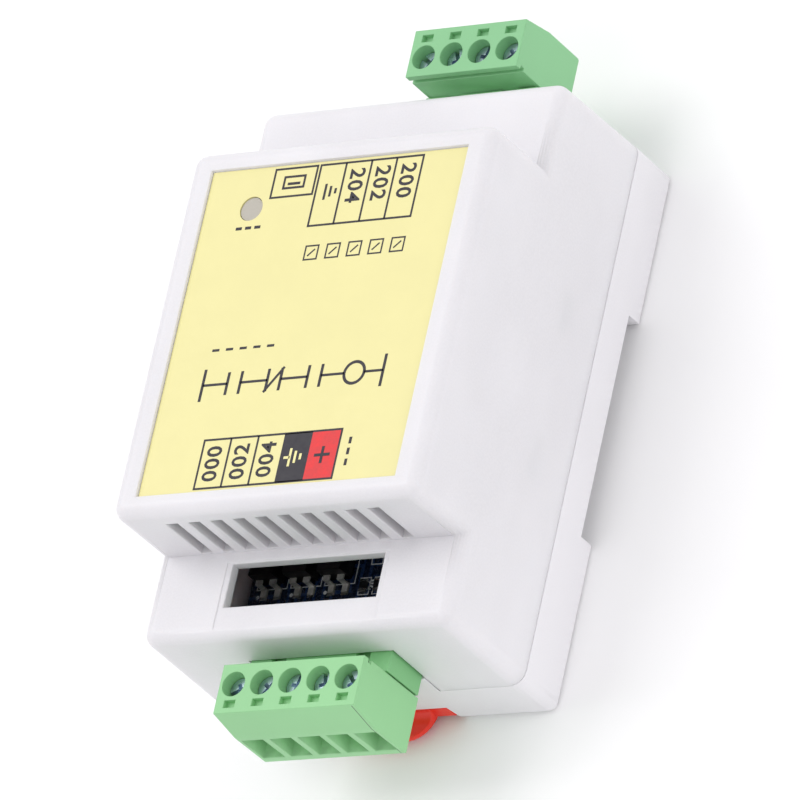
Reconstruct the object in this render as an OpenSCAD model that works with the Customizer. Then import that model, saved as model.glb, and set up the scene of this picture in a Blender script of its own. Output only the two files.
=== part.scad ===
// Rail-mounted programmable controller module, lying on its back.
// +Z points out of the front label, -Y is the five-way input end, +Y the four-way output end.

/* [Housing] */
// Length of the housing between its two end faces
body_l = 91; // [80:1:120]
// Width of the base at its widest
body_w = 56.4; // [46:0.1:72]
// Height of the raised block above the back face
body_h = 45.2; // [38:0.1:60]
// Height of the two shoulders
shoulder_h = 31.2; // [31:0.1:36]
// Height where the cover meets the base
parting_h = 9.9; // [9:0.1:11]
// Length of the shoulder at the input end
shoulder_in = 14.5; // [12:0.1:18]
// Length of the shoulder at the output end
shoulder_out = 14.8; // [12:0.1:18]
// Wall thickness of both shells
wall = 2; // [1.6:0.1:2.5]
// Inward draft of the cover's sides, from the parting line to the top
draft = 0.5; // [0:0.05:1.2]
// Radius of the housing's upright corners
corner_r = 2.5; // [1.5:0.1:3.5]
// Radius of the cover's upper edges
edge_r = 2.2; // [1:0.1:2.5]

/* [Label and vents] */
// Width of the rim beside the label
rim_side = 4.2; // [2:0.1:5]
// Width of the rim at the ends of the label
rim_end = 3.2; // [2:0.1:5]
// Depth of the label recess
recess_d = 0.9; // [0.6:0.1:1.2]
// Thickness of the label
label_t = 0.3; // [0.2:0.05:0.4]
// Diameter of the indicator hole
led_hole_d = 4.1; // [3:0.1:5]
// Distance of the indicator from the module's centre line
led_x = -14.7; // [-16:0.1:-10]
// Distance of the indicator from the output side of the label
led_in = 7; // [5:0.1:12]
// Number of vent slots
vent_count = 10; // [6:1:10]
// Spacing of the vent slots
vent_pitch = 4.04; // [3.4:0.02:4.2]
// Width of a vent slot
vent_w = 2.1; // [1:0.1:2.4]
// Length of a vent slot
vent_l = 9.8; // [5:0.1:10]
// Width of the inspection window
window_w = 27.6; // [20:0.1:28]
// Length of the inspection window
window_l = 7.2; // [4:0.1:8]
// Distance of the window from the raised block
window_gap = 1.8; // [1.5:0.1:4]

/* [Rail] */
// Width of the rail recess
rail_w = 37.2; // [36:0.1:38]
// Depth of the rail recess
rail_d = 3.7; // [3.5:0.1:4.2]
// Distance of the recess's middle from the housing's middle
rail_off = 0.65; // [-1:0.05:1.5]
// Reach of the fixed hooks and of the clip's nose under the rail
hook_reach = 1.3; // [1:0.1:1.6]
// Thickness of the hooks and of the clip's nose
hook_t = 2; // [1.6:0.1:2.2]
// Width of the rail that the recess takes
rail_size = 35; // [34.8:0.1:35.4]
// Width of the clip
clip_w = 21; // [16:0.2:22]
// Thickness of the clip
clip_t = 2.7; // [2.4:0.1:3]
// Length of the pull tongue outside the housing
tongue_l = 3.9; // [3:0.1:8]
// Width of the pull tongue
tongue_w = 15.2; // [11:0.1:17]
// Travel of the clip
clip_travel = 3; // [2.5:0.1:3.5]

/* [Board] */
// Height of the board's top face above the back face
board_top = 14.5; // [14:0.1:16]
// Thickness of the circuit board
board_t = 1.6; // [1.2:0.1:2]
// Gap between the board's long edges and the cover's wall
board_side_gap = 3.8; // [2.6:0.1:5]
// Gap between the board's ends and the end walls
board_end_gap = 1.3; // [0.5:0.1:2]
// Shank diameter of the board screws
board_screw_d = 2.6; // [2.2:0.1:3]
// Width of the programming port's shell
port_w = 7.7; // [7:0.1:9]
// Height of the programming port's shell
port_h = 3.9; // [3:0.1:4.5]
// Distance between the programming port and the output header
port_side = 1.1; // [0.8:0.1:4]

/* [Terminals] */
// Pole spacing
pitch = 5.08; // [5:0.01:6.1]
// Number of input poles
poles_in = 5; // [3:1:5]
// Number of output poles
poles_out = 4; // [2:1:4]
// Distance of the input plug from the module's centre line
plug_in_x = 0.2; // [-2:0.1:2]
// Distance of the output plug from the module's centre line
plug_out_x = 6.5; // [6:0.1:7]
// How far the input header stands out of the end face
header_in_out = 2.9; // [2:0.1:5]
// How far the output header stands out of the end face
header_out_out = 3.8; // [2:0.1:5]
// Height of a header
header_h = 8.6; // [8.2:0.1:10.4]
// Depth of a header
header_d = 12; // [11:0.1:14]
// Height of a plug
plug_h = 15; // [14.8:0.1:18]
// How far a plug stands out in front of its header
plug_out = 9.4; // [9:0.1:11]
// How far a plug reaches into its header
plug_in = 8.9; // [8:0.1:9.2]
// Diameter of the screw holes
screw_hole_d = 4; // [3.8:0.1:4.2]
// Diameter of a screw head
screw_head_d = 3.7; // [3.4:0.1:3.8]
// Diameter of a screw shank
screw_d = 2.9; // [2.5:0.1:3]
// Side of a square header pin
pin_t = 1; // [0.8:0.05:1.1]
// Lift of a clamp cage when its screw is tightened
cage_travel = 2; // [1.5:0.1:2.2]

/* [Hidden] */
$fn = 48;

eps = 0.01;
over = 1;                       // how far a cut runs past the face it opens
fit = 0.15;                     // gap of a plug in its header
slack = 0.3;                    // gap between parts that pass each other
seat = 0.05;                    // gap under a part that is captive
frame_shift = (header_in_out - header_out_out) / 2;   // centres the plugs' outer faces on the origin

// housing
half_l = body_l / 2;
half_w = body_w / 2;
step = 0.1;                     // the base stands proud of the cover by this
cover_w_low = half_w - step;
cover_w_top = cover_w_low - draft;
block_y0 = -half_l + shoulder_in;
block_y1 = half_l - shoulder_out;
end_draft = 0.4;                // lean of the shoulders' end faces
block_draft = 0.05;             // lean of the raised block's end faces
inner_r = 1;                    // least radius inside the cover
inner_w = half_w - wall;        // half width inside the shells at the parting line
shelf_t = 1.5;                  // plastic left under the label
label_gap = 0.1;                // gap round the label in its recess
label_off = 0.4;                // how much wider the rim is at the output end
label_y0 = block_y0 + rim_end;
label_y1 = block_y1 - rim_end - label_off;
label_w = cover_w_top - rim_side;
recess_z = body_h - recess_d;
led_y = label_y1 - led_in;
strip_w = window_w + 1.8;       // shallow step around the inspection window
strip_d = 0.2;
window_x = 0.05;
window_y1 = block_y0 - window_gap;
strip_y1 = window_y1 + 0.2;
vent_x = -0.3;
vent_z = shoulder_h + 0.4;
snap_y = 12;                    // snap arms, either side of the middle
snap_w = 6;
snap_z = 18.5;
snap_t = 1.4;
snap_gap = 0.6;                 // between an arm and the cover's wall
barb = 0.9;
notch = barb + 0.2;             // depth and half height of the notch for a barb

// rail recess and clip
rail_y0 = rail_off - rail_w / 2;
rail_y1 = rail_off + rail_w / 2;
foot_r = 1.2;                   // fillet along the feet's edges
end_foot_r = 1.7;               // fillet where the feet meet the end faces
floor_z = rail_d + wall;
foot_floor = 2.2;
clip_z = 1.4;
hook_z = 0.4;
hook_top = hook_z + hook_t;
clip_taper = 0.7;
clip_half = clip_w / 2;
channel_side = 4;               // thickness of the channel's side walls
hook_x = 14;                    // fixed hooks, either side of the middle
hook_half = 4;
hook_root = 0.5;                // how far a hook is rooted in the base
channel_z = clip_z + clip_t + slack;
rib_w = 1.2;
rib_y0 = -half_l + 7.5;
rib_y1 = rib_y0 + 12;
rib_z = 2;
rib_t = 1.2;
nose_tip = rail_y1 - rail_size + hook_reach;
nose_w = 16;
nose_tip_bevel = [0.9, 0.6];    // bevel that rides over the rail's edge
clip_y0 = -half_l + 0.1;
clip_y1 = rail_y0 - 0.6;
clip_top = clip_z + clip_t;
slot_half = 6.5;                // slot in the clip for its spring arms
slot_y0 = rib_y0 + 1;
slot_y1 = rib_y0 + 2 * clip_travel + 8;
arm_t = 1;
arm_y0 = rib_y0 + 9.3;          // free end of a spring arm
arm_y1 = rib_y0 + 11;           // root of a spring arm
arm_gap = 0.4;
peg_w = 3;
peg_y0 = rib_y0 + 3;
peg_l = 2;
peg_low = 0.5;                  // gap under the peg, above the clip's back
tongue_t = 1;
tongue_fillet = 1.8;
tongue_r = 5;

// board
board_z = board_top - board_t;
board_half_w = inner_w - board_side_gap;
board_half_l = half_l - wall - board_end_gap;
boss_r = 3;
boss_x = board_half_w - 3.3;
boss_y_in = -half_l + 7.5;
boss_y_out = half_l - 18.5;
screw_head_r = 2.3;
screw_head_t = 1.2;
screw_dome_t = 0.6;
board_screw_l = 7.5;
boss_hole_d = 7;

// parts on the board; x and y of each stand from the board's edges, the plugs or the middle
lead_t = 0.25;
led_h = 1.9;
port_l = 9.2;
port_t = 0.4;
port_y1 = half_l - 1.3;
port_y0 = port_y1 - port_l;
port_gap = 0.5;                 // gap round the port in the end wall
port_x = plug_out_x - poles_out * pitch / 2 - port_side - port_w / 2;
tongue_half = 2.6;              // plastic tongue inside the port
cpu_x = 1;
cpu_y = 6;
cpu_side = 10;
cpu_pins = 11;
cpu_pitch = 0.8;
cpu_lead_w = 0.37;
opto_w = 4.6;
opto_l = 6.5;
opto_h = 3.5;
opto_lean = 0.15;
opto_pitch = 6.2;
opto_x = -board_half_w + 3.9;
opto_y = -half_l + 17.5 + opto_l / 2;
opto_lead_z = 1.9;
opto_bend = 0.4;                // where the wide part of an optocoupler's lead ends
power_w = 6.5;
power_l = 3.5;
power_pitch = 7.6;
power_y = half_l - 22;
can_r = 4;
can_h = 10;
can_base = 4.2;
can_base_t = 1.2;
can_pitch = 10.5;
can_y = -half_l + 25.5;
reg_x = 6.4;
reg_y = -half_l + 27.5;
reg_half = 3.3;
coil_side = 10;
coil_x = 6.4;
coil_y = -half_l + 38;
coil_floor = 1;
coil_post_r = 2.6;
coil_wire_z = 1.35;
small_chip = [1.25, 2, 0.55];   // chip resistor
tall_chip = [1.25, 2, 0.9];     // chip capacitor
large_chip = [1.6, 3.2, 1.3];

// terminals, in a frame whose origin is the header's front face at board height, outwards along -Y
header_side = 0.55;             // a header's end wall
header_floor = 1.1;
header_roof = 1;
header_over = header_side + fit;
header_bore_d = plug_in + 0.5;
key_half = 1.3;                 // key notches in a header's roof
key_d = 4.2;
pin_bend = header_d + 0.2;
pin_z = 4.1;
pin_tip = 2;
pin_tail = 1.5;
pin_hole_d = 1.5;
grip_half = pin_t / 2 + 0.1;    // bore of a contact round its pin
plug_low = -0.25;
plug_top = plug_low + plug_h;
plug_bevel_z = 8.4;
plug_bevel = 1.05;
plug_gap = 0.3;
plate_t = 1.2;                  // plastic above the groove along a plug's back
groove_h = 0.8;
groove_d = 0.6;
insert_z0 = header_floor + 0.2;
insert_z1 = header_h - header_roof - 0.2;
screw_y = -3.6;
screw_sink = 2.1;
head_z1 = plug_top - screw_sink;
head_z0 = head_z1 - 2;
ledge_z1 = head_z0 - seat;
ledge_z0 = ledge_z1 - 0.5;
cage_w = 4;
cage_l = 4.2;
cage_z0 = 0.75;
cage_h = ledge_z0 - 0.2 - cage_travel - cage_z0;
cage_side = 0.5;
cage_bottom = 0.8;
cage_roof = 1.2;
cage_gap = 0.15;
thread_gap = 0.05;
bar_t = 0.6;
box_half = pin_z - 3.1;
bar_z1 = pin_z + box_half;
mark_y = -6.85;                 // recessed mark in front of each screw
mark_half = [1, 0.6];
mark_d = 1;
entry_half = 1.95;               // mouth of a wire entry
throat_half = 1.6;
throat_d = 2.6;
throat_z = [1.8, 4.9];
mouth_z = [1.3, 8.4];
contact_half = 1.2;
turn_in = 25;                   // each screw's slot points another way
turn_out = 35;
pocket_gap = 0.4;
pocket_top = board_top + header_h + 0.2;

// ---- helpers -------------------------------------------------------------------------------

module in_frame() { translate([0, frame_shift, 0]) children(); }
module at_input() { translate([plug_in_x, -half_l - header_in_out, board_top]) children(); }
module at_output() { translate([plug_out_x, half_l + header_out_out, board_top]) mirror([0, 1, 0]) children(); }

// box between two corners
module span(a, b) { translate(a) cube(b - a); }

// flat outline with four round corners
module round_rect(x0, x1, y0, y1, r) {
    translate([x0 + r, y0]) square([x1 - x0 - 2 * r, y1 - y0]);
    translate([x0, y0 + r]) square([x1 - x0, y1 - y0 - 2 * r]);
    for (x = [x0 + r, x1 - r], y = [y0 + r, y1 - r]) translate([x, y]) circle(r);
}

// what a fillet of radius r takes off a corner at the origin that opens towards -x and -y
module corner_cut(r) {
    difference() {
        translate([-r, -r]) square(r + eps);
        translate([-r, -r]) circle(r);
    }
}

// extrudes an outline drawn in Y and Z along X
module along_x(x0, x1) { translate([x0, 0, 0]) rotate([90, 0, 90]) linear_extrude(x1 - x0) children(); }
// extrudes an outline drawn in X and Z along Y
module along_y(y0, y1) { translate([0, y1, 0]) rotate([90, 0, 0]) linear_extrude(y1 - y0) children(); }

// extrudes an outline drawn in X and Y along Z
module along_z(z0, z1) { translate([0, 0, z0]) linear_extrude(z1 - z0) children(); }

// drafted box with round upright corners and round upper edges, shrunk by t on its sides and top
module soft_box(y0, y1, z1, t, dy) {
    lean = draft * (z1 - parting_h) / (body_h - parting_h);
    r = max(corner_r - t, inner_r);
    e = max(edge_r - t, inner_r);
    hull() {
        for (sx = [-1, 1], end = [0, 1]) {
            sy = end == 0 ? -1 : 1;
            y = end == 0 ? y0 : y1;
            translate([sx * (cover_w_low - t - r), y - sy * (t + r), parting_h - (t > 0 ? over : 0)])
                cylinder(r = r, h = 0.5, $fn = 32);
            translate([sx * (cover_w_low - lean - t - e), y - sy * (t + dy + e), z1 - t - e])
                sphere(r = e, $fn = 32);
        }
    }
}

// ---- housing -------------------------------------------------------------------------------

module header_pocket(n) {
    w = n * pitch / 2 + pocket_gap;
    span([-w, -over - wall, parting_h - board_top - over], [w, wall + over, pocket_top - board_top]);
}

module window_cuts() {
    span([window_x - window_w / 2, window_y1 - window_l, shoulder_h - wall - over],
         [window_x + window_w / 2, window_y1, shoulder_h + over]);
    span([window_x - strip_w / 2, -half_l - over, shoulder_h - strip_d],
         [window_x + strip_w / 2, strip_y1, shoulder_h + over]);
}

module vent_cuts() {
    for (i = [0:vent_count - 1]) {
        x = vent_x + (i - (vent_count - 1) / 2) * vent_pitch;
        span([x - vent_w / 2, block_y0 - over, vent_z], [x + vent_w / 2, block_y0 + wall + over, vent_z + vent_l]);
    }
}

module snap_notches() {
    for (sx = [-1, 1], sy = [-1, 1])
        translate([sx * inner_w, sy * snap_y, snap_z])
            cube([2 * notch, snap_w + 2 * slack, 2 * notch], center = true);
}

module cover() {
    color("white") in_frame() difference() {
        union() {
            soft_box(-half_l, half_l, shoulder_h, 0, end_draft);
            soft_box(block_y0, block_y1, body_h, 0, block_draft);
        }
        soft_box(-half_l, half_l, shoulder_h, wall, end_draft);
        soft_box(block_y0, block_y1, recess_z - shelf_t + wall, wall, block_draft);
        span([-label_w, label_y0, recess_z], [label_w, label_y1, body_h + over]);
        translate([led_x, led_y, recess_z - shelf_t - over]) cylinder(d = led_hole_d, h = shelf_t + 2 * over);
        window_cuts();
        vent_cuts();
        translate([plug_in_x, -half_l, board_top]) header_pocket(poles_in);
        translate([plug_out_x, half_l, board_top]) mirror([0, 1, 0]) header_pocket(poles_out);
        span([port_x - port_w / 2 - port_gap, half_l - wall - over, board_top - slack],
             [port_x + port_w / 2 + port_gap, half_l + over, board_top + port_h + port_gap]);
        snap_notches();
    }
}

module base_outline() {
    difference() {
        translate([-half_l, 0]) square([body_l, parting_h]);
        translate([half_l, 0]) mirror([0, 1]) corner_cut(end_foot_r);
        translate([-half_l, 0]) mirror([1, 0]) mirror([0, 1]) corner_cut(end_foot_r);
        translate([rail_y0, -over]) square([rail_w, rail_d + over]);
        translate([rail_y1, 0]) mirror([1, 0]) mirror([0, 1]) corner_cut(foot_r);
        translate([rail_y0, 0]) mirror([0, 1]) corner_cut(foot_r);
    }
}

module base_shell() {
    difference() {
        intersection() {
            along_x(-half_w, half_w) base_outline();
            linear_extrude(parting_h) round_rect(-half_w, half_w, -half_l, half_l, corner_r);
            along_y(-half_l, half_l) difference() {
                translate([-half_w, 0]) square([body_w, parting_h]);
                for (s = [0, 1]) mirror([s, 0]) translate([half_w, 0]) mirror([0, 1]) corner_cut(foot_r);
            }
        }
        span([-inner_w, -half_l + wall, floor_z], [inner_w, half_l - wall, parting_h + over]);
        span([-inner_w, -half_l + wall, foot_floor], [inner_w, rail_y0 - wall, parting_h]);
        span([-inner_w, rail_y1 + wall, foot_floor], [inner_w, half_l - wall, parting_h]);
    }
}

// end wall that fills the cover's pocket up to the header
module pocket_wall(n) {
    w = n * pitch / 2 + pocket_gap - 0.2;
    span([-w, 0, parting_h - board_top - eps], [w, wall, -slack]);
}

module channel_outline(gap) {
    w = clip_half + gap;
    polygon([[-w - clip_taper, -over], [-w - clip_taper, 0], [-w, clip_z + clip_t + gap],
             [w, clip_z + clip_t + gap], [w + clip_taper, 0], [w + clip_taper, -over]]);
}

module base() {
    color("gainsboro") in_frame() difference() {
        union() {
            base_shell();
            span([-clip_half - channel_side, -half_l + wall + eps, foot_floor - over],
                 [clip_half + channel_side, rail_y0 - eps, channel_z + wall]);
            for (x = [-boss_x, boss_x], y = [boss_y_in, boss_y_out])
                translate([x, y, foot_floor - eps]) cylinder(r = boss_r, h = board_z - foot_floor + eps);
            for (sx = [-1, 1], sy = [-1, 1]) translate([0, sy * snap_y, 0]) mirror([sx < 0 ? 1 : 0, 0, 0]) snap_arm();
            for (x = [-hook_x, hook_x])
                span([x - hook_half, rail_y1 - hook_reach, hook_z],
                     [x + hook_half, rail_y1 + hook_root, hook_top]);
            translate([plug_in_x, -half_l, board_top]) pocket_wall(poles_in);
            translate([plug_out_x, half_l, board_top]) mirror([0, 1, 0]) pocket_wall(poles_out);
        }
        along_y(-half_l - over, rail_y0 + over) channel_outline(slack);
        for (s = [0, 1]) mirror([s, 0, 0])
            span([clip_half, rib_y0 - clip_travel - slack, rib_z - slack],
                 [clip_half + rib_w + slack, rib_y1 + slack, rib_z + rib_t + slack]);
        for (x = [-boss_x, boss_x], y = [boss_y_in, boss_y_out])
            translate([x, y, board_z - boss_hole_d]) cylinder(d = board_screw_d - 2 * fit, h = boss_hole_d + over);
    }
    color("gainsboro") in_frame() clip_peg();
}

// peg that the clip's spring arms bear on
module clip_peg() {
    span([-peg_w / 2, peg_y0, clip_z + peg_low], [peg_w / 2, peg_y0 + peg_l, channel_z + eps]);
}

// upright arm whose barb holds the cover
module snap_arm() {
    x1 = inner_w - snap_gap;
    span([x1 - snap_t, -snap_w / 2, floor_z - eps], [x1, snap_w / 2, snap_z + barb]);
    translate([x1 - eps, 0, snap_z]) along_y(-snap_w / 2, snap_w / 2)
        polygon([[0, seat - barb], [barb, seat - barb], [barb, -slack], [0, barb]]);
}

module label() {
    color("khaki") in_frame() difference() {
        span([-label_w + label_gap, label_y0 + label_gap, recess_z],
             [label_w - label_gap, label_y1 - label_gap, recess_z + label_t]);
        translate([led_x, led_y, recess_z - over]) cylinder(d = led_hole_d, h = label_t + 2 * over);
    }
}

module light_pipe() {
    pipe_r = led_hole_d / 2 - 0.1;
    color("whitesmoke") in_frame() translate([led_x, led_y, 0]) {
        translate([0, 0, board_top + led_h + 0.4]) cylinder(r = pipe_r, h = recess_z - board_top - led_h - 0.3);
        translate([0, 0, recess_z - shelf_t - 1 - seat]) cylinder(r = pipe_r + 1, h = 1);
    }
}

// ---- board and its parts ---------------------------------------------------------------------

module main_board() {
    color("midnightblue") in_frame() difference() {
        span([-board_half_w, -board_half_l, board_z], [board_half_w, board_half_l, board_top]);
        for (x = [-boss_x, boss_x], y = [boss_y_in, boss_y_out])
            translate([x, y, board_z - over]) cylinder(d = board_screw_d + 0.4, h = board_t + 2 * over);
        at_input() pin_holes(poles_in);
        at_output() pin_holes(poles_out);
    }
}

module pin_holes(n) {
    for (i = [0:n - 1])
        translate([pole_x(n, i), pin_bend + pin_t / 2, -board_t - over])
            cylinder(d = pin_hole_d * pin_t, h = board_t + 2 * over);
}

module board_screws() {
    color("silver") in_frame() for (x = [-boss_x, boss_x], y = [boss_y_in, boss_y_out])
        translate([x, y, board_top]) difference() {
            union() {
                translate([0, 0, -board_screw_l]) cylinder(d = board_screw_d - 0.4, h = board_screw_l + eps);
                cylinder(r = screw_head_r, h = screw_head_t);
                translate([0, 0, screw_head_t - eps]) cylinder(r1 = screw_head_r, r2 = 1.5, h = screw_dome_t);
            }
            for (a = [0, 90]) rotate([0, 0, a]) span([-1.2, -0.3, screw_head_t - 0.4], [1.2, 0.3, 2 * screw_head_t]);
        }
}

function pole_x(n, i) = (i - (n - 1) / 2) * pitch;

// right-angle header with its mouth at y = 0
module header_body(n, keys) {
    w = n * pitch / 2;
    difference() {
        span([-w, 0, 0], [w, header_d, header_h]);
        span([-w + header_side, -over, header_floor], [w - header_side, header_bore_d, header_h - header_roof]);
        for (x = keys)
            span([x - key_half, -over, header_h - header_roof - over], [x + key_half, key_d, header_h + over]);
        for (i = [0:n - 1])
            span([pole_x(n, i) - pin_t / 2, header_bore_d - over, pin_z - pin_t / 2],
                 [pole_x(n, i) + pin_t / 2, header_d + over, pin_z + pin_t / 2]);
    }
}

module header_pins(n) {
    for (i = [0:n - 1]) translate([pole_x(n, i), 0, 0]) {
        span([-pin_t / 2, pin_tip, pin_z - pin_t / 2], [pin_t / 2, pin_bend + pin_t, pin_z + pin_t / 2]);
        span([-pin_t / 2, pin_bend, -board_t - pin_tail], [pin_t / 2, pin_bend + pin_t, pin_z]);
    }
}

module input_header() { color("limegreen") in_frame() at_input() header_body(poles_in, [-1.5 * pitch, 1.5 * pitch]); }
module input_header_pins() { color("silver") in_frame() at_input() header_pins(poles_in); }
module output_header() { color("limegreen") in_frame() at_output() header_body(poles_out, [-pitch, pitch]); }
module output_header_pins() { color("silver") in_frame() at_output() header_pins(poles_out); }

module port_shell() {
    color("silver") in_frame() translate([port_x, 0, board_top]) {
        difference() {
            span([-port_w / 2, port_y0, 0], [port_w / 2, port_y1, port_h]);
            span([-port_w / 2 + port_t, port_y0 + port_t, port_t],
                 [port_w / 2 - port_t, port_y1 + over, port_h - port_t]);
        }
        for (s = [-1, 1])
            translate([s * (port_w / 2 + 0.6), port_y0 + 0.8, port_t / 2]) cube([1.4, 1.6, port_t], center = true);
    }
}

module port_tongue() {
    color("black") in_frame() translate([port_x, 0, board_top]) {
        span([-tongue_half, port_y0 + port_t, 1.5], [tongue_half, port_y1 - 1.6, 2.3]);
        span([-port_w / 2 + port_t, port_y0 + port_t, port_t],
             [port_w / 2 - port_t, port_y0 + 2.2, port_h - port_t]);
    }
}

module processor() {
    color("dimgray") in_frame() translate([cpu_x, cpu_y, board_top + 0.1]) difference() {
        translate([-cpu_side / 2, -cpu_side / 2, 0]) cube([cpu_side, cpu_side, 1.4]);
        translate([-cpu_side / 2 + 1.3, -cpu_side / 2 + 1.3, 1.3]) cylinder(r = 0.5, h = 1);
    }
}

module processor_leads() {
    color("silver") in_frame() translate([cpu_x, cpu_y, board_top]) for (a = [0:90:270]) rotate([0, 0, a])
        for (i = [0:cpu_pins - 1]) translate([(i - (cpu_pins - 1) / 2) * cpu_pitch, cpu_side / 2, 0])
            mirror([0, 1, 0]) along_x(-cpu_lead_w / 2, cpu_lead_w / 2) gull_wing(0, 0.8, 0.3, 0.7, 0.15);
}

module crystal() {
    color("silver") in_frame() translate([cpu_x - 12, cpu_y, board_top]) {
        linear_extrude(0.6) round_rect(-2.4, 2.4, -5.7, 5.7, 0.8);
        linear_extrude(3.8) round_rect(-1.9, 1.9, -5.1, 5.1, 1.85);
    }
}

module opto_places() {
    for (i = [0:2]) translate([opto_x + i * opto_pitch, opto_y, board_top]) children();
}

module input_optocouplers() {
    color("black") in_frame() opto_places() translate([0, 0, 0.2]) {
        along_y(-opto_l / 2, opto_l / 2)
            polygon([[-opto_w / 2 + opto_lean, 0], [opto_w / 2 - opto_lean, 0], [opto_w / 2, opto_h / 2],
                     [opto_w / 2 - opto_lean, opto_h], [-opto_w / 2 + opto_lean, opto_h], [-opto_w / 2, opto_h / 2]]);
    }
}

// formed lead: out of the body, down, and flat on the board, in an outline of Y and Z
module gull_wing(y, z, out, foot, t) {
    polygon([[y, z], [y - out, z], [y - out, t], [y - out - foot, t], [y - out - foot, 0],
             [y - out + t, 0], [y - out + t, z - t], [y, z - t]]);
}

module optocoupler_leads() {
    color("silver") in_frame() opto_places() for (s = [0, 1], x = [-1.27, 1.27]) mirror([0, s, 0]) {
        span([x - 0.6, -opto_l / 2 - 2 * opto_bend, opto_lead_z - lead_t], [x + 0.6, -opto_l / 2, opto_lead_z]);
        along_x(x - 0.5, x + 0.5) gull_wing(-opto_l / 2 - opto_bend, opto_lead_z, 0.5, 1.2, lead_t);
    }
}

module transistor_places() {
    for (i = [0:2]) translate([plug_out_x + (i - 1) * power_pitch, power_y, board_top]) children();
}

module output_transistors() {
    color("black") in_frame() transistor_places() translate([-power_w / 2, -power_l / 2, 0.1])
        cube([power_w, power_l, 1.6]);
}

module transistor_leads() {
    color("silver") in_frame() transistor_places() {
        for (x = [-2.3, 0, 2.3]) along_x(x - 0.35, x + 0.35) gull_wing(-power_l / 2, 0.9, 0.6, 0.9, lead_t);
        mirror([0, 1, 0]) along_x(-1.5, 1.5) gull_wing(-power_l / 2, 0.9, 0.6, 0.9, lead_t);
    }
}

module can_places() {
    for (i = [0, 1]) translate([board_half_w - 5.8, can_y + i * can_pitch, board_top]) children();
}

module capacitor_cans() {
    color("silver") in_frame() can_places() translate([0, 0, can_base_t]) difference() {
        cylinder(r = can_r, h = can_h);
        translate([0, 0, 1.4]) rotate_extrude() translate([can_r + 0.15, 0]) circle(0.5);
    }
}

module capacitor_bases() {
    color("black") in_frame() can_places() difference() {
        linear_extrude(can_base_t) polygon([[-can_base, -can_base], [can_base - 1.6, -can_base],
            [can_base, 1.6 - can_base], [can_base, can_base - 1.6], [can_base - 1.6, can_base],
            [-can_base, can_base]]);
        span([-can_base - over, -0.5, -over], [0.6 - can_base, 0.5, 0.4]);
    }
}

module regulator() {
    color("black") in_frame() translate([reg_x, reg_y, board_top]) span([-reg_half, -3, 0.5], [reg_half, 3, 2.3]);
}

module regulator_tab() {
    color("silver") in_frame() translate([reg_x, reg_y, board_top]) {
        span([-2.7, 0, 0], [2.7, 4.3, 0.5]);
        for (x = [-2.28, 2.28]) along_x(x - 0.4, x + 0.4) gull_wing(-3, 1.4, 1, 1.2, 0.5);
    }
}

module inductor_core() {
    color("dimgray") in_frame() translate([coil_x, coil_y, board_top]) {
        linear_extrude(coil_floor) round_rect(-coil_side / 2, coil_side / 2, -coil_side / 2, coil_side / 2, 1.5);
        cylinder(r = coil_post_r, h = 4.4);
        translate([0, 0, 3.5]) cylinder(r = 4.6, h = 1);
    }
}

module inductor_winding() {
    color("peru") in_frame() translate([coil_x, coil_y, board_top]) difference() {
        translate([0, 0, coil_floor + seat]) cylinder(r = 4.3, h = 2.4);
        cylinder(r = coil_post_r + seat, h = 5);
        for (i = [0:3]) translate([0, 0, coil_wire_z + i * 0.6]) rotate_extrude() translate([4.45, 0]) circle(0.22);
    }
}

module protection_diode() {
    color("black") in_frame() translate([board_half_w - 6, -half_l + 17.5, board_top]) {
        span([-2.3, -1.8, 0.1], [2.3, 1.8, 2.2]);
        for (s = [0, 1]) mirror([s, 0, 0]) span([2.3, -1, 0], [2.8, 1, 1.2]);
    }
}

// chips that lie in a row of n along X
module chip_row(x, y, n, step, size) {
    for (i = [0:n - 1]) translate([x + i * step - size.x / 2, y - size.y / 2, board_top]) cube(size);
}

module chip_resistors() {
    color("black") in_frame() {
        chip_row(-1.4, opto_y - 4.6, 4, 2.6, small_chip);
        chip_row(-board_half_w + 2.6, opto_y + 7.8, 7, 3.1, small_chip);
        chip_row(plug_out_x - 8.9, half_l - 27.3, 7, 2.6, small_chip);
    }
}

module chip_capacitors() {
    color("tan") in_frame() {
        chip_row(cpu_x - 5, cpu_y - 7.2, 5, 2.4, tall_chip);
        chip_row(cpu_x + 10, cpu_y - 2, 2, 3, large_chip);
        chip_row(port_x - 6, half_l - 16.5, 4, 2.6, tall_chip);
    }
}

module error_led() {
    color("white") in_frame() translate([led_x, led_y, board_top]) difference() {
        span([-1.75, -1.4, 0], [1.75, 1.4, led_h]);
        translate([0, 0, led_h - 0.3]) cylinder(r1 = 0.9, r2 = 1.2, h = 0.3 + eps);
    }
}

// ---- clip ------------------------------------------------------------------------------------

module din_clip() {
    color("red") in_frame() {
        difference() {
            intersection() {
                along_y(clip_y0, clip_y1) channel_outline(0);
                span([-half_w, clip_y0, clip_z], [half_w, clip_y1, clip_top]);
            }
            span([-slot_half, slot_y0, -over], [slot_half, slot_y1, clip_top + over]);
        }
        for (s = [0, 1]) mirror([s, 0, 0]) {
            span([clip_half - over, rib_y0, rib_z], [clip_half + rib_w, rib_y1, rib_z + rib_t]);
            along_z(clip_z + arm_gap, clip_top - arm_gap) polygon([
                [slot_half + eps, arm_y1], [slot_half + eps, arm_y1 + arm_t], [arm_gap, arm_y0 + arm_t],
                [arm_gap, arm_y0]]);
        }
        along_x(-nose_w / 2, nose_w / 2) polygon([[clip_y1 - eps, clip_z], [nose_tip - nose_tip_bevel.x, clip_z],
            [nose_tip, clip_z + nose_tip_bevel.y], [nose_tip, hook_top], [clip_y1 - eps, hook_top]]);
        pull_tongue();
    }
}

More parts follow.
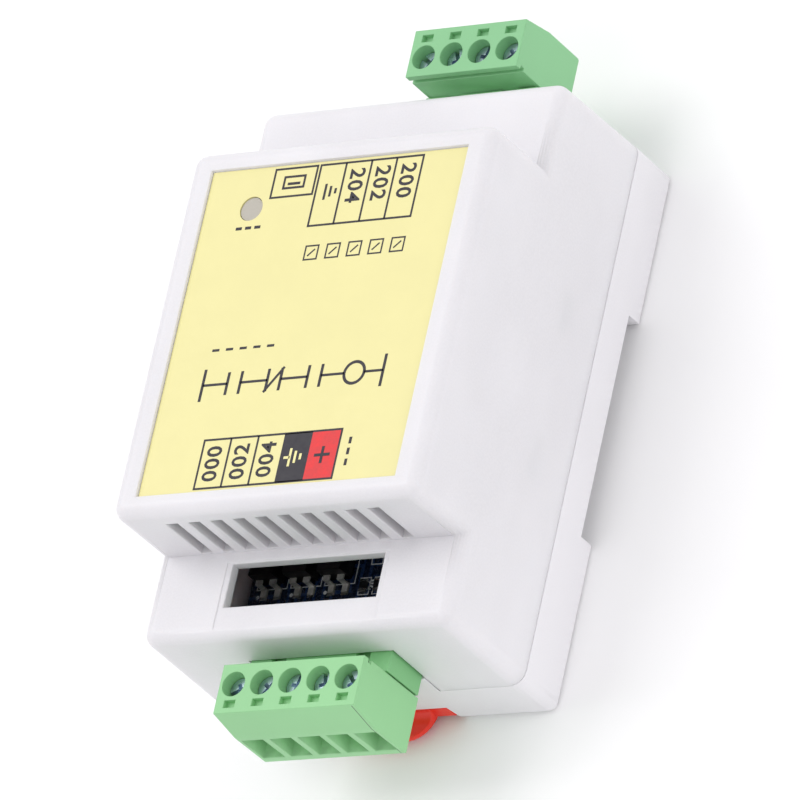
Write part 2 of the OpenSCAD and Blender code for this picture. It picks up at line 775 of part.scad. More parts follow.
// tongue with round outer corners and a hollow where it meets the clip
module pull_tongue() {
    tip = clip_y0 - tongue_l;
    bend = clip_y0 - tongue_fillet;
    intersection() {
        along_z(clip_z, clip_top) round_rect(-tongue_w / 2, tongue_w / 2, tip, clip_y0 + 2 * tongue_r, tongue_r);
        along_x(-half_w, half_w) difference() {
            translate([tip - over, clip_z]) square([tongue_l + over + eps, clip_t]);
            translate([bend, clip_z + tongue_t + tongue_fillet]) circle(tongue_fillet);
            translate([tip - 2 * over, clip_z + tongue_t]) square([bend - tip + 2 * over, clip_t]);
        }
    }
}

// ---- plugs -----------------------------------------------------------------------------------

// side of the part of a plug that stands in front of its header
module plug_outline() {
    polygon([[-plug_out + 0.15, plug_low], [-plug_out, plug_low + 0.4], [-plug_out, plug_bevel_z],
             [-plug_out + plug_bevel, plug_top], [-plug_gap, plug_top], [-plug_gap, plug_top - plate_t],
             [-plug_gap - groove_d, plug_top - plate_t], [-plug_gap - groove_d, plug_top - plate_t - groove_h],
             [-plug_gap, plug_top - plate_t - groove_h], [-plug_gap, plug_low]]);
}

// flared wire entry, square in section, narrowing to the cage
module wire_entry() {
    y0 = -plug_out;
    y1 = screw_y - cage_l / 2 - cage_gap;
    intersection() {
        along_x(-pitch / 2, pitch / 2) polygon([[y0 - over, mouth_z[0]], [y0 - over, mouth_z[1]],
            [y0 + throat_d, throat_z[1]], [y1 + eps, throat_z[1]], [y1 + eps, throat_z[0]],
            [y0 + throat_d, throat_z[0]], [y0, mouth_z[0]]]);
        along_z(-over, plug_h) polygon([[-entry_half, y0 - over], [entry_half, y0 - over], [entry_half, y0],
            [throat_half, y0 + throat_d], [throat_half, y1 + eps], [-throat_half, y1 + eps],
            [-throat_half, y0 + throat_d], [-entry_half, y0]]);
    }
}

module plug_body(n) {
    w = n * pitch / 2;
    cage_half = cage_l / 2 + cage_gap;
    difference() {
        union() {
            along_x(-w, w) plug_outline();
            span([header_over - w, -plug_gap - eps, insert_z0], [w - header_over, plug_in, insert_z1]);
        }
        for (i = [0:n - 1]) translate([pole_x(n, i), 0, 0]) {
            translate([0, screw_y, ledge_z1]) cylinder(d = screw_hole_d, h = plug_top);
            translate([0, screw_y, ledge_z0 - over]) cylinder(d = screw_d + 0.6, h = 2 * over);
            span([-cage_w / 2 - cage_gap, screw_y - cage_half, cage_z0 - 0.2],
                 [cage_w / 2 + cage_gap, screw_y + cage_half, ledge_z0]);
            span([-contact_half, screw_y + cage_half - over, pin_z - box_half],
                 [contact_half, plug_in + over, pin_z + box_half]);
            wire_entry();
            span([-mark_half.x, mark_y - mark_half.y, plug_top - mark_d],
                 [mark_half.x, mark_y + mark_half.y, plug_top + over]);
        }
    }
}

module plug_contacts(n) {
    for (i = [0:n - 1]) translate([pole_x(n, i), 0, 0]) difference() {
        union() {
            span([-contact_half, screw_y + cage_l / 2 + cage_gap + 0.2, pin_z - box_half],
                 [contact_half, plug_in - 0.5, pin_z + box_half]);
            span([-contact_half, screw_y - cage_l / 2 + 0.1, bar_z1 - bar_t], [contact_half, 0, bar_z1]);
        }
        span([-grip_half, 0, pin_z - grip_half], [grip_half, plug_in + over, pin_z + grip_half]);
    }
}

module clamp_screw(n, i, turn) {
    color("silver") translate([pole_x(n, i), screw_y, 0]) difference() {
        union() {
            translate([0, 0, head_z0]) cylinder(d = screw_head_d, h = head_z1 - head_z0);
            translate([0, 0, bar_z1 + 0.2]) cylinder(d = screw_d, h = head_z0 - bar_z1);
        }
        rotate([0, 0, turn]) {
            span([-screw_head_d, -0.35, head_z1 - 1], [screw_head_d, 0.35, head_z1 + over]);
            span([-0.3, -1.1, head_z1 - 0.8], [0.3, 1.1, head_z1 + over]);
        }
    }
}

module clamp_cage(n, i) {
    color("lightsteelblue") translate([pole_x(n, i), screw_y, cage_z0]) difference() {
        span([-cage_w / 2, -cage_l / 2, 0], [cage_w / 2, cage_l / 2, cage_h]);
        span([-cage_w / 2 + cage_side, -cage_l, cage_bottom], [cage_w / 2 - cage_side, cage_l, cage_h - cage_roof]);
        cylinder(r = screw_d / 2 + thread_gap, h = 2 * cage_h);
    }
}

module input_plug() { color("lightgreen") in_frame() at_input() plug_body(poles_in); }
module input_contacts() { color("gold") in_frame() at_input() plug_contacts(poles_in); }
module output_plug() { color("lightgreen") in_frame() at_output() plug_body(poles_out); }
module output_contacts() { color("gold") in_frame() at_output() plug_contacts(poles_out); }

cover();
base();
label();
light_pipe();
main_board();
board_screws();
input_header();
input_header_pins();
output_header();
output_header_pins();
port_shell();
port_tongue();
processor();
processor_leads();
crystal();
input_optocouplers();
optocoupler_leads();
output_transistors();
transistor_leads();
capacitor_cans();
capacitor_bases();
regulator();
regulator_tab();
inductor_core();
inductor_winding();
protection_diode();
chip_resistors();
chip_capacitors();
error_led();
din_clip();
input_plug();
input_contacts();
output_plug();
output_contacts();
for (i = [1:poles_in]) {
    in_frame() at_input() clamp_screw(poles_in, i - 1, turn_in * i);
    in_frame() at_input() clamp_cage(poles_in, i - 1);
}
for (i = [1:poles_out]) {
    in_frame() at_output() clamp_screw(poles_out, i - 1, turn_out * i);
    in_frame() at_output() clamp_cage(poles_out, i - 1);
}
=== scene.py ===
import math

import bmesh
import bpy
from mathutils import Matrix, Vector


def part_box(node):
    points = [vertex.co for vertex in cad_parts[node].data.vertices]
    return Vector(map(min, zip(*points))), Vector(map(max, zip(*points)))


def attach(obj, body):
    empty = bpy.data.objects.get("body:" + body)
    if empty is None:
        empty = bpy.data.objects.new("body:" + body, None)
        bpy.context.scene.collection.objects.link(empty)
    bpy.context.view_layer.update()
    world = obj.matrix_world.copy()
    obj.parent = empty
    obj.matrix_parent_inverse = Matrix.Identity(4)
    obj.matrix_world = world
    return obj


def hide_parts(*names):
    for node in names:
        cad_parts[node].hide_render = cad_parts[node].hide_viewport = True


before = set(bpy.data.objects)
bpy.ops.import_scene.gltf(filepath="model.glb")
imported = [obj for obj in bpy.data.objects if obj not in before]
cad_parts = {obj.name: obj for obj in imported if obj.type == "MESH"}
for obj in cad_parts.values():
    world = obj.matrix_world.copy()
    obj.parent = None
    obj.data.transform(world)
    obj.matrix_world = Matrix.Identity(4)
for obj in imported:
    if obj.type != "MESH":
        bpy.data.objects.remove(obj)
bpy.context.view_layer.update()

bl_info = {
    "name": "Rail Controller Module",
    "version": (1, 0, 0),
    "blender": (4, 5, 0),
    "location": "View3D > Sidebar > Controller",
    "description": "Finishes the controller module's housing, label, terminals and board",
    "category": "Object",
}

MM = 0.001
LABEL_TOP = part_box("label")[1].z
# the optocouplers' bodies stand 0.2 mm clear of the board
BOARD_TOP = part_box("input_optocouplers")[0].z - 0.2 * MM

# the label's print, in millimetres
INK_THICK = 0.02
FINE, THIN, MEDIUM, HEAVY, BOLD = 0.26, 0.38, 0.42, 0.45, 0.5
OUTPUT_TABLE = ((-3.35, 15.65), (15.25, 25.95))
OUTPUT_LINES = (1.29, 5.93, 10.47)
OUTPUT_NUMBERS = ((3.6, "204"), (8.2, "202"), (12.85, "200"))
INPUT_TABLE = ((-13.3, -27.55), (11.6, -19.45))
INPUT_LINES = (-8.4, -3.44)
INPUT_NUMBERS = ((-10.85, "000"), (-5.9, "002"), (-1.05, "004"))
INPUT_ROW = -23.5
GROUND_CELL = ((1.31, -27.55), (6.4, -19.45))
SUPPLY_CELL = ((6.4, -27.38), (11.43, -19.62))

# places on the circuit board, in millimetres
OPTOCOUPLER_X = [-18.5 + i * 6.2 for i in range(3)]
CAN_PLACES = ((16.6, -20.45), (16.6, -9.95))
CAN_TOP = 11.2
LEGEND_THICK = 0.03
LEGEND_LINE = 0.16
# first chip's x and y, number of chips, step, width, length and height
CHIP_ROWS = ((-1.4, -29.8, 4, 2.6, 1.25, 2.0, 0.55), (-19.8, -17.4, 7, 3.1, 1.25, 2.0, 0.55),
             (-2.4, 17.75, 7, 2.6, 1.25, 2.0, 0.55), (-4.0, -1.65, 5, 2.4, 1.25, 2.0, 0.9),
             (11.0, 3.55, 2, 3.0, 1.6, 3.2, 1.3), (-14.6, 28.55, 4, 2.6, 1.25, 2.0, 0.9))


# ---- colours and node helpers ----------------------------------------------------------------

def linear(colour):
    """A display colour as the linear RGBA that a shader socket takes."""
    return (*(c / 12.92 if c <= 0.04045 else ((c + 0.055) / 1.055) ** 2.4 for c in colour[:3]), 1.0)


def shaded(colour, amount):
    """The colour a little darker, or lighter above 1."""
    return tuple(min(1.0, c * amount) for c in colour[:3])


class Finish:
    """One procedural material with its noise, colour and relief nodes on Object coordinates."""

    def __init__(self, name, metallic=0.0, ior=1.5):
        self.material = bpy.data.materials.new(name)
        self.material.use_nodes = True
        self.tree = self.material.node_tree
        self.shader = self.tree.nodes["Principled BSDF"]
        self.shader.inputs["Metallic"].default_value = metallic
        self.shader.inputs["IOR"].default_value = ior
        self.place = self.tree.nodes.new("ShaderNodeTexCoord").outputs["Object"]

    def link(self, source, target):
        """Joins an output to an input."""
        self.tree.links.new(source, target)

    def noise(self, grain, detail=2.0, stretch=None):
        """Noise whose features are about grain millimetres across, longer where stretched."""
        node = self.tree.nodes.new("ShaderNodeTexNoise")
        node.inputs["Scale"].default_value = 1.0 / (grain * MM)
        node.inputs["Detail"].default_value = detail
        place = self.place
        if stretch:
            mapping = self.tree.nodes.new("ShaderNodeMapping")
            mapping.inputs["Scale"].default_value = stretch
            self.link(place, mapping.inputs["Vector"])
            place = mapping.outputs["Vector"]
        self.link(place, node.inputs["Vector"])
        return node.outputs["Fac"]

    def waves(self, pitch, axis, distortion):
        """Ridges one pitch apart across an axis, in millimetres, bent by the distortion."""
        node = self.tree.nodes.new("ShaderNodeTexWave")
        node.bands_direction = axis
        node.inputs["Scale"].default_value = 2 * math.pi / (20 * pitch * MM)
        node.inputs["Distortion"].default_value = distortion
        self.link(self.place, node.inputs["Vector"])
        return node.outputs["Fac"]

    def band(self, value, low, high, to_low=0.0, to_high=1.0):
        """Maps a value's range low to high onto another range."""
        node = self.tree.nodes.new("ShaderNodeMapRange")
        node.inputs["From Min"].default_value = low
        node.inputs["From Max"].default_value = high
        node.inputs["To Min"].default_value = to_low
        node.inputs["To Max"].default_value = to_high
        self.link(value, node.inputs["Value"])
        return node.outputs["Result"]

    def along(self, axis):
        """Position along an axis."""
        node = self.tree.nodes.new("ShaderNodeSeparateXYZ")
        self.link(self.place, node.inputs["Vector"])
        return node.outputs[axis]

    def near(self, axis, where, half):
        """1 on a thin line across an axis and 0 away from it, in millimetres."""
        gap = self.tree.nodes.new("ShaderNodeMath")
        gap.operation = "SUBTRACT"
        gap.inputs[1].default_value = where * MM
        self.link(self.along(axis), gap.inputs[0])
        size = self.tree.nodes.new("ShaderNodeMath")
        size.operation = "ABSOLUTE"
        self.link(gap.outputs["Value"], size.inputs[0])
        return self.band(size.outputs["Value"], half * MM / 2, half * MM, 1.0, 0.0)

    def both(self, first, second, operation="MULTIPLY"):
        """Two values taken together by a math operation."""
        node = self.tree.nodes.new("ShaderNodeMath")
        node.operation = operation
        self.link(first, node.inputs[0])
        self.link(second, node.inputs[1])
        return node.outputs["Value"]

    def mix(self, value, low, high):
        """The colour that goes from low to high as the value goes from 0 to 1."""
        node = self.tree.nodes.new("ShaderNodeMix")
        node.data_type = "RGBA"
        self.link(value, node.inputs["Factor"])
        # inputs 6 and 7 and output 2 are the node's colour sockets
        for socket, colour in ((node.inputs[6], low), (node.inputs[7], high)):
            if isinstance(colour, bpy.types.NodeSocket):
                self.link(colour, socket)
            else:
                socket.default_value = linear(colour)
        return node.outputs[2]

    def colour(self, source):
        """Takes the surface colour from an output."""
        self.link(source, self.shader.inputs["Base Color"])

    def roughness(self, value, low, high):
        """Lets the roughness go from low to high with a noise value."""
        self.link(self.band(value, 0.3, 0.7, low, high), self.shader.inputs["Roughness"])

    def relief(self, height, depth, below=None):
        """Bump of that depth in millimetres, on top of another relief if one is given."""
        node = self.tree.nodes.new("ShaderNodeBump")
        node.inputs["Distance"].default_value = depth * MM
        self.link(height, node.inputs["Height"])
        if below:
            self.link(below, node.inputs["Normal"])
        return node.outputs["Normal"]

    def normal(self, source):
        """Takes the surface relief from an output."""
        self.link(source, self.shader.inputs["Normal"])


def set_value(material, name, value):
    """Sets one constant of a material's shader."""
    material.node_tree.nodes["Principled BSDF"].inputs[name].default_value = value


def moulded_plastic(name, colour, rough=(0.38, 0.5), grain=0.35, depth=0.012, cloud=0.965,
                    coat=0.0, seam=None):
    """Injection-moulded plastic: spark-eroded grain, faint flow clouding and uneven gloss.

    A seam is a fine joint line across X at its first value, below the height of its second.
    """
    finish = Finish(name, ior=1.48)
    flow = finish.noise(22, 3, (1.0, 0.6, 1.0))
    speck = finish.noise(grain, 2)
    shade = finish.mix(finish.band(flow, 0.35, 0.65), shaded(colour, cloud), colour)
    face = finish.mix(finish.band(speck, 0.3, 0.7, 0.0, 0.25), shade, shaded(colour, 1.03))
    if seam:
        x, top = seam
        below = finish.band(finish.along("Z"), top * MM, (top + 0.1) * MM, 0.85, 0.0)
        line = finish.both(finish.near("X", x, 0.09), below)
        face = finish.mix(line, face, shaded(colour, 0.3))
    finish.colour(face)
    finish.roughness(finish.both(flow, speck, "MINIMUM"), *rough)
    wave = finish.relief(flow, depth * 4)
    finish.normal(finish.relief(speck, depth, wave))
    if coat:
        set_value(finish.material, "Coat Weight", coat)
        set_value(finish.material, "Coat Roughness", 0.2)
    return finish.material


def let_light_through(material, weight, scatter):
    """Thin pale plastic: part of the light scatters through it, that many millimetres deep."""
    set_value(material, "Subsurface Weight", weight)
    set_value(material, "Subsurface Radius", (1.0, 0.94, 0.9))
    set_value(material, "Subsurface Scale", scatter * MM)


def bright_metal(name, colour, rough=(0.2, 0.4), grain=0.5, depth=0.004,
                 stretch=(1.0, 1.0, 6.0), dull=0.8):
    """Plated or drawn metal: fine lines along the draw and patches of duller plating."""
    finish = Finish(name, metallic=1.0, ior=2.0)
    patch = finish.noise(2.5, 3)
    lines = finish.noise(grain, 2, stretch)
    finish.colour(finish.mix(finish.band(patch, 0.35, 0.7), colour, shaded(colour, dull)))
    finish.roughness(finish.both(patch, lines, "MAXIMUM"), *rough)
    finish.normal(finish.relief(lines, depth))
    return finish.material


def printed_film(name, colour):
    """Printed label film: satin face with an orange-peel skin and faint mottling of the ink."""
    finish = Finish(name, ior=1.5)
    mottle = finish.noise(6, 4)
    skin = finish.noise(0.7, 2)
    finish.colour(finish.mix(finish.band(mottle, 0.35, 0.65), shaded(colour, 0.99), colour))
    finish.roughness(skin, 0.32, 0.42)
    finish.normal(finish.relief(skin, 0.006))
    return finish.material


def ink(name, colour):
    """Screen-printed ink: a thin film with pinholes and slightly uneven density."""
    finish = Finish(name, ior=1.45)
    density = finish.noise(0.9, 3)
    finish.colour(finish.mix(finish.band(density, 0.3, 0.7), colour, shaded(colour, 1.1)))
    finish.roughness(density, 0.4, 0.55)
    finish.normal(finish.relief(finish.noise(0.25, 1), 0.003))
    return finish.material


def board_laminate(name, mask, copper):
    """Solder-masked laminate: buried tracks stand slightly proud and show a lighter tone."""
    finish = Finish(name, ior=1.52)
    routes = finish.noise(7, 1)
    along = finish.band(finish.waves(1.6, "X", 0.6), 0.72, 0.8)
    across = finish.band(finish.waves(2.1, "Y", 0.6), 0.78, 0.86)
    split = finish.band(routes, 0.48, 0.5)
    rest = finish.band(routes, 0.5, 0.52, 1.0, 0.0)
    tracks = finish.both(finish.both(along, split), finish.both(across, rest), "MAXIMUM")
    weave = finish.noise(0.45, 2)
    base = finish.mix(finish.band(weave, 0.3, 0.7), shaded(mask, 0.8), mask)
    finish.colour(finish.mix(tracks, base, copper))
    finish.roughness(weave, 0.22, 0.34)
    finish.normal(finish.relief(tracks, 0.03, finish.relief(weave, 0.008)))
    return finish.material


def speckled(name, colour, fleck, rough=(0.5, 0.7), depth=0.02):
    """Sintered or filled material: a dark body with a pale fleck and a dry surface."""
    finish = Finish(name, ior=1.55)
    grit = finish.noise(0.2, 3)
    broad = finish.noise(3.0, 2)
    body = finish.mix(finish.band(broad, 0.35, 0.65), shaded(colour, 0.88), colour)
    finish.colour(finish.mix(finish.band(grit, 0.62, 0.75), body, fleck))
    finish.roughness(grit, *rough)
    finish.normal(finish.relief(grit, depth))
    return finish.material


# ---- mesh helpers ----------------------------------------------------------------------------

def finished(name, bm, body, material, smooth=None):
    """Turns a bmesh into a piece that rides on a body."""
    mesh = bpy.data.meshes.new(name)
    bm.to_mesh(mesh)
    bm.free()
    piece = bpy.data.objects.new(name, mesh)
    bpy.context.scene.collection.objects.link(piece)
    mesh.materials.append(material)
    if smooth is not None:
        mesh.shade_smooth()
        mesh.set_sharp_from_angle(angle=math.radians(smooth))
    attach(piece, body)
    return piece


def side_by_side(one, other, limit):
    """True when two parallel edges run beside each other, closer than a limit."""
    start = one.verts[0].co
    along = one.verts[1].co - start
    length = along.length
    along.normalize()
    other_run = other.verts[1].co - other.verts[0].co
    if abs(along.dot(other_run)) < 0.999 * other_run.length:
        return False
    low, high = sorted((v.co - start).dot(along) for v in other.verts)
    offset = other.verts[0].co - start
    gap = (offset - along * offset.dot(along)).length
    return high > 0 and low < length and gap < limit


def roomy(edges, width):
    """The edges that can be rounded to a width without meeting the rounding of another."""
    # just under two widths, so that roundings that only touch are kept
    limit = 1.9 * width * MM
    tight = set()
    for i, one in enumerate(edges):
        for other in edges[i + 1:]:
            if side_by_side(one, other, limit):
                tight.update((one, other))
    return [e for e in edges if e not in tight]


def softened(node, name, body, material, width):
    """A copy of a moulded part with its sharp edges rounded, standing for that part."""
    bm = bmesh.new()
    bm.from_mesh(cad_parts[node].data)
    bmesh.ops.remove_doubles(bm, verts=bm.verts, dist=0.002 * MM)
    bmesh.ops.dissolve_limit(bm, angle_limit=math.radians(0.4), verts=bm.verts, edges=bm.edges)
    sharp = [e for e in bm.edges if e.is_convex and e.calc_face_angle() > math.radians(48.0)]
    bmesh.ops.bevel(bm, geom=roomy(sharp, width), affect="EDGES", offset=width * MM,
                    offset_type="OFFSET", segments=2, profile=0.5, material=-1,
                    clamp_overlap=False)
    piece = finished(name, bm, body, material, smooth=50)
    even = piece.modifiers.new("Even faces", "WEIGHTED_NORMAL")
    even.keep_sharp = True
    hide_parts(node)


def block(bm, low, high):
    """Adds a box between two corners given in millimetres."""
    low, high = Vector(low) * MM, Vector(high) * MM
    place = Matrix.Translation((low + high) / 2) @ Matrix.Diagonal((*(high - low), 1.0))
    bmesh.ops.create_cube(bm, size=1.0, matrix=place)


class Print:
    """Flat marks of one thickness on a level face of the housing, all in millimetres."""

    def __init__(self, face, thick):
        self.bm = bmesh.new()
        self.thick = thick
        self.z = face + thick / 2

    def stroke(self, start, end, width, lift=0.0):
        """Adds a straight stroke between two points."""
        start, end = Vector((*start, self.z + lift)), Vector((*end, self.z + lift))
        run = end - start
        turn = Matrix.Rotation(math.atan2(run.y, run.x), 4, "Z")
        size = Matrix.Diagonal((run.length * MM, width * MM, self.thick * MM, 1.0))
        place = Matrix.Translation((start + end) / 2 * MM) @ turn @ size
        bmesh.ops.create_cube(self.bm, size=1.0, matrix=place)

    def bars(self, places, low, high, width):
        """Adds a stroke along Y at each place along X."""
        for x in places:
            self.stroke((x, low), (x, high), width)

    def shrinking_bars(self, x, middle, halves, lift=0.0):
        """Adds a row of bars along Y, each as long as twice its half."""
        for i, half in enumerate(halves):
            place = x + i * 0.95
            self.stroke((place, middle - half), (place, middle + half), MEDIUM, lift)

    def outline(self, low, high, width):
        """Adds the four strokes round a rectangle."""
        (x0, y0), (x1, y1) = low, high
        h = width / 2
        for start, end in (((x0 - h, y0), (x1 + h, y0)), ((x0 - h, y1), (x1 + h, y1)),
                           ((x0, y0 + h), (x0, y1 - h)), ((x1, y0 + h), (x1, y1 - h))):
            self.stroke(start, end, width)

    def patch(self, low, high):
        """Adds a filled rectangle."""
        block(self.bm, (*low, self.z - self.thick / 2), (*high, self.z + self.thick / 2))

    def ring(self, centre, radius, width):
        """Adds a ring by spinning its small section."""
        x, y = centre
        inner, outer = radius - width / 2, radius + width / 2
        low, high = self.z - self.thick / 2, self.z + self.thick / 2
        section = [self.bm.verts.new(Vector((x + r, y, h)) * MM)
                   for r, h in ((inner, low), (outer, low), (outer, high), (inner, high))]
        edges = [self.bm.edges.new((section[i], section[(i + 1) % 4])) for i in range(4)]
        bmesh.ops.spin(self.bm, geom=section + edges, cent=Vector((x, y, self.z)) * MM,
                       axis=(0, 0, 1), angle=2 * math.pi, steps=32, use_merge=True)

    def disc(self, centre, radius, steps=24):
        """Adds a disc."""
        place = Matrix.Translation(Vector((*centre, self.z)) * MM)
        bmesh.ops.create_cone(self.bm, cap_ends=True, segments=steps, radius1=radius * MM,
                              radius2=radius * MM, depth=self.thick * MM, matrix=place)

    def numeral(self, words, centre, height, turn):
        """Adds a number turned by degrees about its middle."""
        curve = bpy.data.curves.new("numeral", "FONT")
        curve.body = words
        # the built-in font's figures are 0.7 of its size
        curve.size = height / 0.7
        curve.align_x = "CENTER"
        curve.align_y = "CENTER"
        curve.space_character = 1.1
        curve.extrude = self.thick / 2
        curve.offset = 0.07
        curve.resolution_u = 3
        holder = bpy.data.objects.new("numeral", curve)
        bpy.context.scene.collection.objects.link(holder)
        shape = holder.evaluated_get(bpy.context.evaluated_depsgraph_get())
        mesh = bpy.data.meshes.new_from_object(shape)
        place = Matrix.Translation(Vector((*centre, self.z)) * MM)
        mesh.transform(place @ Matrix.Rotation(math.radians(turn), 4, "Z") @ Matrix.Scale(MM, 4))
        self.bm.from_mesh(mesh)
        bpy.data.objects.remove(holder)
        bpy.data.meshes.remove(mesh)
        bpy.data.curves.remove(curve)

    def lay(self, name, slot, material):
        """Turns the marks into a piece of the housing."""
        finished(name, self.bm, "housing", material)


def paint(node, material):
    """Gives a CAD part its finish."""
    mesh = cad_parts[node].data
    if not mesh.materials:
        mesh.materials.append(material)
    for i in range(len(mesh.materials)):
        mesh.materials[i] = material


# ---- settings --------------------------------------------------------------------------------

def colour_property(name, description, default):
    """A colour setting as display values."""
    return bpy.props.FloatVectorProperty(name=name, description=description, subtype="COLOR",
                                         size=3, min=0.0, max=1.0, default=default)


def length_property(name, description, default):
    """A length setting whose default is given in millimetres."""
    return bpy.props.FloatProperty(name=name, description=description, subtype="DISTANCE",
                                   unit="LENGTH", min=0.0, default=default * MM)


class MODULE_PG_colours(bpy.types.PropertyGroup):
    """Display colours of the module's materials."""
    housing: colour_property("Housing", "Plastic of the cover and base", (0.912, 0.906, 0.918))
    label: colour_property("Label", "Film on the front", (0.93, 0.90, 0.636))
    terminals: colour_property("Terminals", "Plastic of the input plug", (0.595, 0.83, 0.595))
    # the output plug's colour is the terminal plastic made darker: painted shade, for the plug that
    # faces away from the light
    output: colour_property("Output plug", "Terminal plastic darkened as painted shade on the output plug", (0.54, 0.78, 0.565))
    headers: colour_property("Headers", "Plastic of the headers", (0.52, 0.775, 0.53))
    clip: colour_property("Rail clip", "Plastic of the clip and its tongue", (1.0, 0.18, 0.1))
    board: colour_property("Board", "Solder mask of the circuit board", (0.085, 0.14, 0.24))
    ink: colour_property("Ink", "Print on the label", (0.17, 0.16, 0.19))
    supply: colour_property("Supply mark", "Fill of the supply terminal's cell",
                            (0.845, 0.205, 0.215))


class MODULE_PG_sizes(bpy.types.PropertyGroup):
    """Sizes of the finishing details."""
    shell_edge: length_property("Shell edge", "Rounding of the housing's small edges", 0.14)
    base_edge: length_property("Base edge", "Rounding of the base's edges", 0.1)
    plug_edge: length_property("Plug edge", "Rounding of the plugs' and headers' edges", 0.12)
    clip_edge: length_property("Clip edge", "Rounding of the rail clip's edges", 0.25)
    line: length_property("Line", "Width of the label's printed lines", 0.34)
    figure: length_property("Figure", "Height of the label's numbers", 2.6)


def settings():
    """The scene's sizes and colours for the module."""
    scene = bpy.context.scene
    return scene.module_sizes, scene.module_colours


# ---- operators -------------------------------------------------------------------------------

class MODULE_OT_housing(bpy.types.Operator):
    """Round the housing's edges and give both shells their plastic"""
    bl_idname = "module.housing"
    bl_label = "Housing"

    def execute(self, context):
        sizes, colours = settings()
        cover = moulded_plastic("Housing plastic", colours.housing)
        let_light_through(cover, 0.4, 2.5)
        # painted light: the base is the housing plastic made 2 % lighter, so that its sides come
        # out brighter
        base = moulded_plastic("Base plastic with painted light", shaded(colours.housing, 1.02), grain=0.3)
        softened("cover", "cover_shell", "housing", cover, sizes.shell_edge / MM)
        softened("base", "base_shell", "housing", base, sizes.base_edge / MM)
        pipe = moulded_plastic("Light pipe", (0.77, 0.75, 0.70), rough=(0.2, 0.32), grain=0.5,
                               depth=0.006)
        set_value(pipe, "Transmission Weight", 0.15)
        paint("light_pipe", pipe)
        return {"FINISHED"}


def print_tables(dark, line, figure):
    """The tables of terminal numbers, each read from its own end."""
    low, high = OUTPUT_TABLE[0][1], OUTPUT_TABLE[1][1]
    dark.outline(*OUTPUT_TABLE, line)
    dark.bars(OUTPUT_LINES, low, high, line)
    for x, words in OUTPUT_NUMBERS:
        dark.numeral(words, (x, 21.9), figure, -90)
    dark.shrinking_bars(-1.6, 21.3, (1.35, 0.9, 0.45))

    low, high = INPUT_TABLE[0][1], INPUT_TABLE[1][1]
    dark.outline(*INPUT_TABLE, line)
    dark.bars(INPUT_LINES, low, high, line)
    for x, words in INPUT_NUMBERS:
        dark.numeral(words, (x, INPUT_ROW), figure, 90)
    dark.patch(*GROUND_CELL)


def print_small_marks(dark, line):
    """The socket mark, the dashes by the indicator and supply cell, the switches and a row."""
    dark.outline((-11.6, 21.15), (-3.95, 25.95), line)
    dark.outline((-9.6, 22.6), (-5.9, 24.5), THIN)
    dark.stroke((-8.9, 23.3), (-6.6, 23.3), HEAVY)
    for i in range(3):
        x, y = -16.7 + i * 1.7, -25.6 + i * 1.8
        dark.stroke((x, 16.35), (x + 1.1, 16.35), BOLD)
        dark.stroke((13.5, y), (13.5, y + 1.1), BOLD)
    for i in range(5):
        x = -1.6 + i * 3.9
        dark.outline((x - 1.15, 9.9), (x + 1.15, 12.2), FINE)
        dark.stroke((x - 0.6, 10.5), (x + 0.6, 11.6), FINE)
    for i in range(5):
        x = -15.8 + i * 2.5
        dark.stroke((x, -4.25), (x + 1.3, -4.25), MEDIUM)


def print_ladder_rung(dark):
    """A ladder rung: two rails, an open, a closed and an open contact, and a coil."""
    middle = -10.1
    rails = (-16.1, 16.6)
    plates = (-11.6, -9.2, -4.3, -1.9, 3.0, 5.4)
    coil_x, coil_r = 11.4, 1.8
    dark.bars(rails, middle - 2.7, middle + 2.7, BOLD)
    stops = (rails[0], *plates, coil_x - coil_r, coil_x + coil_r, rails[1])
    for start, end in zip(stops[::2], stops[1::2]):
        dark.stroke((start, middle), (end, middle), MEDIUM)
    dark.bars(plates, middle - 1.9, middle + 1.9, BOLD)
    dark.stroke((-4.6, middle - 2.0), (-1.6, middle + 2.0), MEDIUM, INK_THICK)
    dark.ring((coil_x, middle), coil_r, BOLD)


class MODULE_OT_label(bpy.types.Operator):
    """Print the label's tables, numbers and symbols"""
    bl_idname = "module.label"
    bl_label = "Label"

    def execute(self, context):
        sizes, colours = settings()
        face = LABEL_TOP / MM
        line = sizes.line / MM
        paint("label", printed_film("Label film", colours.label))
        black = ink("Label ink", colours.ink)

        dark = Print(face, INK_THICK)
        print_tables(dark, line, sizes.figure / MM)
        print_small_marks(dark, line)
        print_ladder_rung(dark)
        dark.lay("label_print", "label_film", black)

        supply = Print(face, INK_THICK)
        supply.patch(*SUPPLY_CELL)
        supply.lay("label_supply_cell", "label_film", ink("Supply ink", colours.supply))

        # the marks in the filled cells lie on top of the fill
        ground = Print(face, INK_THICK)
        ground.shrinking_bars(3.1, INPUT_ROW, (1.5, 1.0, 0.5), INK_THICK)
        ground.stroke((2.0, INPUT_ROW), (3.1, INPUT_ROW), MEDIUM, INK_THICK)
        pale = ink("Pale ink", shaded(colours.label, 0.98))
        ground.lay("label_ground_mark", "label_film", pale)

        plus = Print(face, INK_THICK)
        plus.stroke((7.5, INPUT_ROW), (10.3, INPUT_ROW), BOLD, INK_THICK)
        for y in (-24.9, -23.25):
            plus.stroke((8.9, y), (8.9, y + 1.15), BOLD, INK_THICK)
        plus.lay("label_supply_mark", "label_film", black)
        return {"FINISHED"}


